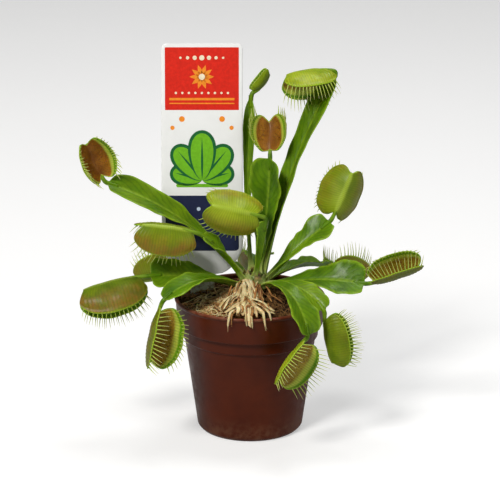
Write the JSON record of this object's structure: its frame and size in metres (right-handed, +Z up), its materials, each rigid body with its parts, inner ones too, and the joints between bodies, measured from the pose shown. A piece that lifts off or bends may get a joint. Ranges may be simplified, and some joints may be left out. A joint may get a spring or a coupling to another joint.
{
  "type": "potted venus flytrap",
  "caption": "Small round nursery pot holding a Venus flytrap: a rosette of winged leaf stalks ending in hinged, bristle-fringed traps, with a printed plant label behind.",
  "frame": {"origin": "middle of the pot's underside, on the surface it stands on", "axes": "+Z up the pot's axis; -Y is the front, which the label faces; +X is the right seen from the front"},
  "size_m": [0.1434, 0.1212, 0.1612],
  "materials": {
    "pot": "dark terracotta-brown moulded plastic, satin, with a thin light lip",
    "peat": "damp brown peat and moss fibre, matt",
    "crown": "pale whitish-green rhizome top with brown leaf scars",
    "straw_moss": "dry pale straw strands, matt",
    "label": "white plastic card, printed on the front, slight sheen",
    "leaf": "smooth yellow-green living leaf with a waxy sheen, traps flushed tan to red inside"
  },
  "bodies": {
    "root": {"pot": "pot", "growing_mix": "peat", "crown": "crown", "dry_moss": "straw_moss", "plant_label": "label", "leaf_front_hanging": "leaf", "leaf_front_right": "leaf", "leaf_right": "leaf", "leaf_right_rising": "leaf", "leaf_middle_arching": "leaf", "leaf_back_upright": "leaf", "leaf_left": "leaf", "leaf_left_rising": "leaf", "leaf_left_high": "leaf", "leaf_front_left": "leaf", "leaf_back_right_tall": "leaf", "leaf_back_young": "leaf", "leaf_back": "leaf", "leaf_back_left": "leaf", "leaf_back_right_low": "leaf"}
  },
  "joints": []
}
